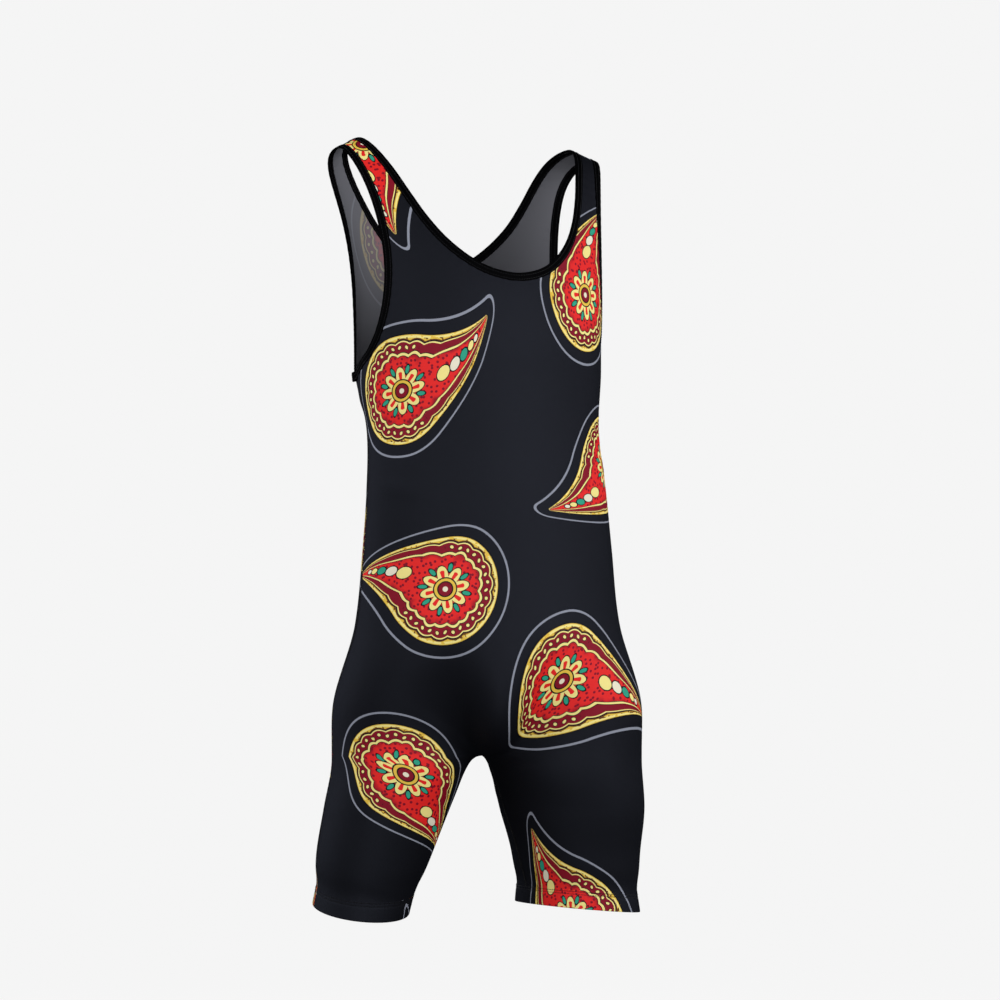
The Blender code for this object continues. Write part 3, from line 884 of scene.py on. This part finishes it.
def sew(name, rows):
    """Raised stitches along rows. out points out of the cloth, and turn is how far each stitch
    lies across its row, in degrees."""
    points, faces = [], []
    ring = np.arange(THREAD_SIDES)
    angles = 2 * np.pi * ring / THREAD_SIDES
    for row in rows:
        lengths = along_line(row.line)
        count = max(1, int(lengths[-1] / row.pitch))
        middles = (np.arange(count) + 0.5) * lengths[-1] / count
        ahead, behind = (read_line(row.line, lengths, middles + step) for step in (1, -1))
        way = ahead - behind
        out = read_line(row.out, lengths, middles)
        side = np.cross(out, way)
        turn = np.radians(row.turn)
        way, side = (part / np.linalg.norm(part, axis=1, keepdims=True) for part in (way, side))
        cosine, sine = np.cos(turn), np.sin(turn)
        way, side = way * cosine + side * sine, side * cosine - way * sine
        centres = read_line(row.line, lengths, middles)
        start = sum(len(part) for part in points)
        rings = []
        for place, girth, rise in STITCH_RINGS:
            centre = centres + way * (place * row.length / 2) + out * (rise * THREAD_RADIUS)
            spoke = side[:, None] * np.cos(angles)[:, None] + out[:, None] * np.sin(angles)[:, None]
            rings.append(centre[:, None] + spoke * THREAD_RADIUS * girth)
        points.append(np.stack(rings, axis=1).reshape(-1, 3))
        per_stitch = len(STITCH_RINGS) * THREAD_SIDES
        for first in range(start, start + count * per_stitch, per_stitch):
            for level in range(len(STITCH_RINGS) - 1):
                here = first + level * THREAD_SIDES
                faces += [
                    (here + k, here + (k + 1) % THREAD_SIDES,
                     here + THREAD_SIDES + (k + 1) % THREAD_SIDES, here + THREAD_SIDES + k)
                    for k in range(THREAD_SIDES)
                ]
            faces.append(tuple(first + ring[::-1]))
            faces.append(tuple(first + per_stitch - THREAD_SIDES + ring))
    return make_mesh(name, np.concatenate(points), faces, {}, np.zeros(len(faces)), [THREAD])


THREAD_BLACK = dye(13, 13, 14)
THREAD_WORN = dye(28, 28, 31)
THREAD_ROUGHNESS = 0.55
THREAD_SHINE = 0.1
THREAD_TWIST = 1800


def thread_material():
    """Spun black thread, with a faint twist."""
    finish = {"Roughness": THREAD_ROUGHNESS, "Specular IOR Level": THREAD_SHINE}
    material, shader, blank = start_material("black_thread", finish)
    place = blank.node("ShaderNodeTexCoord", {}, {}, output=3)
    twist = noise(blank, place, THREAD_TWIST, 1)
    colour = flat_colour(blank, THREAD_BLACK).painted(THREAD_WORN, twist)
    blank.tree.links.new(colour.socket, shader.inputs["Base Color"])
    return material


THREAD = thread_material()


def seam_rows(side, lines, inwards):
    """The stitches of a seam, from its line on each flat panel and the way into the panel."""
    laid = []
    for face, line in lines.items():
        flat = (line + inwards) * (side, 1)
        out = straight_out(face, flat)
        raised = SEAM_RAISE + leg_pinch(flat[:, 1])
        laid.append((lay(face, flat) + out * raised[:, None], out))
    middle, out = (sum(parts) / 2 for parts in zip(*laid))
    out = out / np.linalg.norm(out, axis=1, keepdims=True)
    rows = [Row(places, away, SEAM_PITCH, SEAM_STITCH, 0) for places, away in laid]
    return rows + [Row(middle, out, COVER_PITCH, 2 * SEAM_ROWS, COVER_TURN)]


side_rows, crotch_rows, shoulder_rows = [], [], []
seam_levels = np.arange(ARMHOLE_LOW - SEAM_START, PANEL_END, -CUT_STEP)
strap_places = np.linspace(STRAP_NECK + 1, STRAP_ARM - 1, STRAP_POINTS)
for side in SIDES:
    lines = {}
    for face in FACING:
        places = inseam_distance(seam_levels) + flat_half_width(face, seam_levels)
        lines[face] = np.c_[places, seam_levels]
    side_rows += seam_rows(side, lines, (-SEAM_ROWS, 0))
    lines = {face: inseam()[:-2] for face in FACING}
    crotch_rows += seam_rows(side, lines, (SEAM_ROWS, 0))
    lines = {face: np.c_[strap_places, 0 * strap_places + SHOULDER[face]] for face in FACING}
    shoulder_rows += seam_rows(side, lines, (0, -SEAM_ROWS))
sew("side_seam_stitches", side_rows)
sew("crotch_seam_stitches", crotch_rows)
sew("shoulder_seam_stitches", shoulder_rows)

# --------------------------------------
# Neck and armhole tapes. A strip of black rib knit is folded round each cut edge and held by two
# rows of stitches. The armhole tapes end in a small lap on the side seam.

TAPE_GAP = 0.3
TAPE_WIDTH = 10.0
TAPE_THICKNESS = 2.2
TAPE_POINTS = 30  # round its section
TAPE_SQUARE = (0.32, 0.62)  # the smaller, the flatter its sides
NEEDLE_ROWS = (2.0, 6.6)  # across the tape from the panel
NEEDLE_DENT = 0.28
DENT_WIDTH = 0.7
NEEDLE_PITCH, NEEDLE_STITCH = 3.2, 2.7
TAPE_SINK = 0.1  # how deep the stitches lie in the tape
TAPE_WAVE = 0.12
LAP_HALF = 5.0
LAP_HEIGHT = 4.2
LAP_END = 1.1  # over this length the lap runs out
LAP_SMOOTHS = 0.4  # share of the stitches' dents that the lap fills
TAPE_BLACK = dye(5, 5, 6)
TAPE_PALER = dye(10, 10, 11)
TAPE_CLOUDS = 60


def tape_section():
    """Places across the tape and heights over its middle, round its section."""
    angle = np.linspace(0, 2 * np.pi, TAPE_POINTS, endpoint=False)
    flat_side, round_side = TAPE_SQUARE
    across = np.sign(np.cos(angle)) * np.abs(np.cos(angle)) ** flat_side
    height = np.sign(np.sin(angle)) * np.abs(np.sin(angle)) ** round_side
    return TAPE_WIDTH / 2 * (1 + across), height


def needle_row(face, flat, raised, level):
    """A row of needle stitches on the outside (level 1) or the inside (level -1)."""
    out = straight_out(face, flat)
    line = lay(face, flat) + out * raised[:, None]
    return Row(line, out * level, NEEDLE_PITCH, NEEDLE_STITCH, 0)


def tape_stations(face, edge, opening, lap_at_start):
    """Points round the tape's section at each point of a cut edge, with its rows of stitches."""
    step = into_opening(face, edge, opening)
    lengths = along_line(lay(face, edge))
    lap = 1 / (1 + np.exp((lengths - LAP_HALF) / LAP_END)) if lap_at_start else 0 * lengths
    rows = []
    for row in NEEDLE_ROWS:
        for level in (1, -1):
            raised = CLOTH_MIDDLE + (TAPE_THICKNESS / 2 - TAPE_SINK) * level
            raised = raised + LAP_HEIGHT * lap * (level > 0)
            rows.append(needle_row(face, edge + step * (TAPE_GAP + row), raised, level))
    across, height = tape_section()
    dents = sum(np.exp(-(((across - row) / DENT_WIDTH) ** 2)) for row in NEEDLE_ROWS)
    columns = []
    for place, level, dent in zip(across, height, dents):
        flat = edge + step * (TAPE_GAP + place)
        dent = NEEDLE_DENT * dent * (level > 0) * (1 - LAP_SMOOTHS * lap)
        top = TAPE_THICKNESS / 2 * level - dent
        wave = TAPE_WAVE * ripple(lengths) * (place / TAPE_WIDTH)
        raised = CLOTH_MIDDLE + top + wave + LAP_HEIGHT * lap * (level > 0)
        columns.append(lay(face, flat) + straight_out(face, flat) * raised[:, None])
    return np.stack(columns, axis=1), rows


def make_tube(name, runs, material):
    """A closed tube. Each run has stations round the section and their places on the cut, and
    it ends where the next one starts."""
    count = runs[0][0].shape[1]
    points = np.concatenate([stations[:-1] for stations, _ in runs]).reshape(-1, 3)
    faces, places, first = [], [], 0
    total = len(points) // count
    for stations, cut in runs:
        for i in range(len(stations) - 1):
            here = (first + i) * count
            there = (first + i + 1) % total * count
            for j in range(count):
                k = (j + 1) % count
                faces.append((here + j, there + j, there + k, here + k))
                places += [cut[i, j], cut[i + 1, j], cut[i + 1, j + 1], cut[i, j + 1]]
        first += len(stations) - 1
    return make_mesh(name, points, faces, {"cut": places}, np.zeros(len(faces)), [material])


def along_tape(stations):
    """Places on the cut of a tape, in metres: along it, and round its section."""
    lengths = along_line(stations.mean(axis=1))
    section = np.linspace(0, 2 * (TAPE_WIDTH + TAPE_THICKNESS), stations.shape[1] + 1)
    grid = np.stack(np.meshgrid(section, lengths), axis=-1)
    return grid * METRE, lengths[-1]


def plain_black(blank):
    """Black tape, a little uneven where its dye took less."""
    place = blank.node("ShaderNodeUVMap", {"uv_map": "cut"}, {})
    return flat_colour(blank, TAPE_BLACK).painted(TAPE_PALER, noise(blank, place, TAPE_CLOUDS, 2))


TAPE_KNIT = cloth_material(
    "rib_tape", plain_black, sheen=(0.014, 0.014, 0.015), roughness=0.6,
    wale=0.9, course=0.8, depth=0.0001,
)


def make_tape(name, node, stations, rows):
    """A tape, from its stations once round the opening, with its stitches."""
    stitches = sew(name + "_stitches", rows)
    stations = np.concatenate([stations, stations[:1]])
    cut, length = along_tape(stations)
    piece = make_tube(name, [(stations, cut)], TAPE_KNIT)
    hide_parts(node)


halves, neck_rows = {}, []
for side in SIDES:
    for face in FACING:
        edge = neck_edge(face) * (side, 1)
        halves[side, face], rows = tape_stations(face, edge, side, False)
        neck_rows += rows
neck_loop = np.concatenate([
    halves[1, "front"],
    halves[1, "back"][-2::-1],
    halves[-1, "back"][1:],
    halves[-1, "front"][-2:0:-1],
])
make_tape("neck_tape", "neck_binding", neck_loop, neck_rows)
for side, side_name in SIDES.items():
    (front, front_rows), (back, back_rows) = (
        tape_stations(face, armhole_edge(face) * (side, 1), -side, True) for face in FACING
    )
    loop = np.concatenate([front[::-1], back[1:-1]])[::side]
    node = "armhole_binding_" + side_name
    make_tape("armhole_tape_" + side_name, node, loop, front_rows + back_rows)

# --------------------------------------
# Leg hems. The leg's end is turned up once to the inside, so that its print shows there too, and
# is held by two rows of stitches at the top of the band. Below them the band flares a little.

HEM_DEPTH = 21.0
HEM_THICKNESS = 1.7
HEM_FLARE = 1.4
HEM_STATIONS = 150
HEM_STEP = 2.8  # between stations, for the stitching's small waves
HEM_WAVES_FADE = 8.0
HEM_ROWS = (1.6, 4.6)  # below the top of the band
HEM_DENT = 0.5
HEM_DENT_WIDTH = 0.9
HEM_SINK = 0.05
HEM_GAP = 0.2
HEM_CORNER = (0.55, 0.85)  # heights that round the cut edge's corner
FOLD_DEPTH = 0.9
FOLD_POINTS = 9
# Places down the band: close together by the stitches, then further apart.
HEM_DOWN = (0, 0.25, 0.8, 1.6, 2.4, 3.2, 4.6, 5.6, 7, 9, 11, 13, 15, 17, 19)


def hem_section():
    """Places down the band, heights over its middle and lengths down the cloth."""
    down = np.array(HEM_DOWN)
    fold = np.linspace(np.pi / 2, -np.pi / 2, FOLD_POINTS)
    outer = np.c_[down, np.ones(len(down))]
    outer[:2, 1] = HEM_CORNER
    turn = np.c_[HEM_DEPTH - FOLD_DEPTH + FOLD_DEPTH * np.cos(fold), np.sin(fold)]
    inner = outer[::-1] * (1, -1)
    section = np.vstack([outer, turn, inner])
    cloth = np.concatenate([down, HEM_DEPTH + 0 * fold, 2 * HEM_DEPTH - down[::-1]])
    return section[:, 0], section[:, 1], cloth


def draw_in(side, place):
    """How the stitching draws the band in and ripples it, at a place down the band."""
    lengths = np.arange(HEM_STATIONS) * HEM_STEP + PUCKER_OFFSET * side
    waves = PUCKER * ripple(lengths) * np.exp(-place / HEM_WAVES_FADE)
    return leg_pinch(PANEL_END - place) + waves


def hem_stations(side, face):
    """Points round the band's section, from the side seam to the inseam, with their places on
    the cut and the rows of stitches."""
    columns, cut, rows = [], [], []
    for place, level, length in zip(*hem_section()):
        depth = HEM_GAP + place * (HEM_DEPTH - HEM_GAP) / HEM_DEPTH
        flat = leg_line(face, PANEL_END - depth, HEM_STATIONS) * (side, 1)
        printed = np.c_[flat[:, 0], np.full(HEM_STATIONS, PANEL_END - length)]
        cut.append(printed * METRE + PRINT_SHIFT[face])
        dents = sum(np.exp(-(((place - row) / HEM_DENT_WIDTH) ** 2)) for row in HEM_ROWS)
        flare = HEM_FLARE * (place / HEM_DEPTH) ** 2
        raised = CLOTH_MIDDLE + HEM_THICKNESS / 2 * level - dents * HEM_DENT * (level > 0) + flare
        raised = raised + draw_in(side, place)
        columns.append(lay(face, flat) + straight_out(face, flat) * raised[:, None])
    cut.append(cut[0] - (0, 2 * HEM_DEPTH * METRE))
    for row in HEM_ROWS:
        for level in (1, -1):
            raised = CLOTH_MIDDLE + (HEM_THICKNESS / 2 - HEM_SINK) * level + draw_in(side, row)
            flat = leg_line(face, PANEL_END - row, HEM_STATIONS) * (side, 1)
            rows.append(needle_row(face, flat, raised, level))
    return np.stack(columns, axis=1), np.stack(cut, axis=1), rows


for side, side_name in SIDES.items():
    (*front, front_rows), (*back, back_rows) = (hem_stations(side, face) for face in FACING)
    stitches = sew("leg_hem_stitches_" + side_name, front_rows + back_rows)
    runs = [front, [part[::-1] for part in back]]
    if side < 0:
        runs = [[part[::-1] for part in run] for run in reversed(runs)]
    hem = make_tube("leg_hem_band_" + side_name, runs, PRINTED_SIDE)
    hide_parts("leg_hem_" + side_name)

# --------------------------------------
# The studio: a pale round cove for a floor, soft lights, and the camera.

FLOOR_DROP = 1.5  # the wearer's shoulders over the floor, in metres
COVE_RADIUS = 6.5
COVE_CORNER = 2.0
CORNER_POINTS = 13
COVE_HEIGHT = 6.0
COVE_STEPS = 64
COVE_GREY = (0.02, 0.02, 0.02, 1)
COVE_GLOW = 0.908
AIR_COLOUR = (0.9, 0.92, 0.95, 1)
AIR_STRENGTH = 0.1
LAMP_SIZE = 1.6
LAMP_COLOUR = (0.98, 0.99, 1.0)
LAMP_TARGET = Vector((0, -0.03, -0.42))
CAMERA_TARGET = Vector((0.0344, -0.0183, -0.412))
CAMERA_AZIMUTH = np.radians(-28.0)
CAMERA_DISTANCE = 3.6
CAMERA_SENSOR = 36
CAMERA_LENS = 112.7

profile = [(0.0, 0.0)] + [
    (COVE_RADIUS - COVE_CORNER + COVE_CORNER * np.sin(turn), COVE_CORNER * (1 - np.cos(turn)))
    for turn in np.linspace(0, np.pi / 2, CORNER_POINTS)
] + [(COVE_RADIUS, COVE_HEIGHT)]
cove_mesh = bpy.data.meshes.new("cove")
cove_points = [(away, 0, up - FLOOR_DROP) for away, up in profile]
cove_mesh.from_pydata(cove_points, [(n, n + 1) for n in range(len(profile) - 1)], [])
cove = add_object("cove", cove_mesh)
spin = cove.modifiers.new("Round", "SCREW")
spin.steps = spin.render_steps = COVE_STEPS
spin.use_merge_vertices = True
spin.merge_threshold = 0.0001
spin.use_smooth_shade = True
cove_paint = start_material("cove_paint", {
    "Base Color": COVE_GREY, "Roughness": 1.0,
    "Emission Color": (1.0, 1.0, 1.0, 1), "Emission Strength": COVE_GLOW,
})[0]
cove_mesh.materials.append(cove_paint)
cove.visible_diffuse = cove.visible_glossy = False  # it throws no light back on the cloth

world = bpy.data.worlds.new("studio_air")
world.use_nodes = True
air = world.node_tree.nodes["Background"].inputs
air["Color"].default_value = AIR_COLOUR
air["Strength"].default_value = AIR_STRENGTH
bpy.context.scene.world = world

for name, place, power in (
    ("key", (0.94, -2.33, 0.27), 63),
    ("front", (-1.6, -2.04, -0.63), 34),
    ("left", (-2.11, 0.3, 1.09), 52),
    ("right", (2.49, -0.35, 0.27), 24),
    ("rear", (1.1, 2.5, 0.7), 52),
    ("rear_right", (-1.5, 2.2, -0.3), 34),
):
    light = bpy.data.lights.new(name, "AREA")
    light.size = LAMP_SIZE
    light.energy = power
    light.color = LAMP_COLOUR
    holder = add_object(name, light)
    holder.location = place
    holder.rotation_euler = (LAMP_TARGET - Vector(place)).to_track_quat("-Z", "Y").to_euler()

camera = add_object("camera", bpy.data.cameras.new("camera"))
camera.data.sensor_width = CAMERA_SENSOR
camera.data.lens = CAMERA_LENS
towards_camera = Vector((np.sin(CAMERA_AZIMUTH), -np.cos(CAMERA_AZIMUTH), 0))
camera.location = CAMERA_TARGET + towards_camera * CAMERA_DISTANCE
camera.rotation_euler = towards_camera.to_track_quat("Z", "Y").to_euler()
bpy.context.scene.camera = camera
bpy.context.scene.view_settings.view_transform = "Standard"
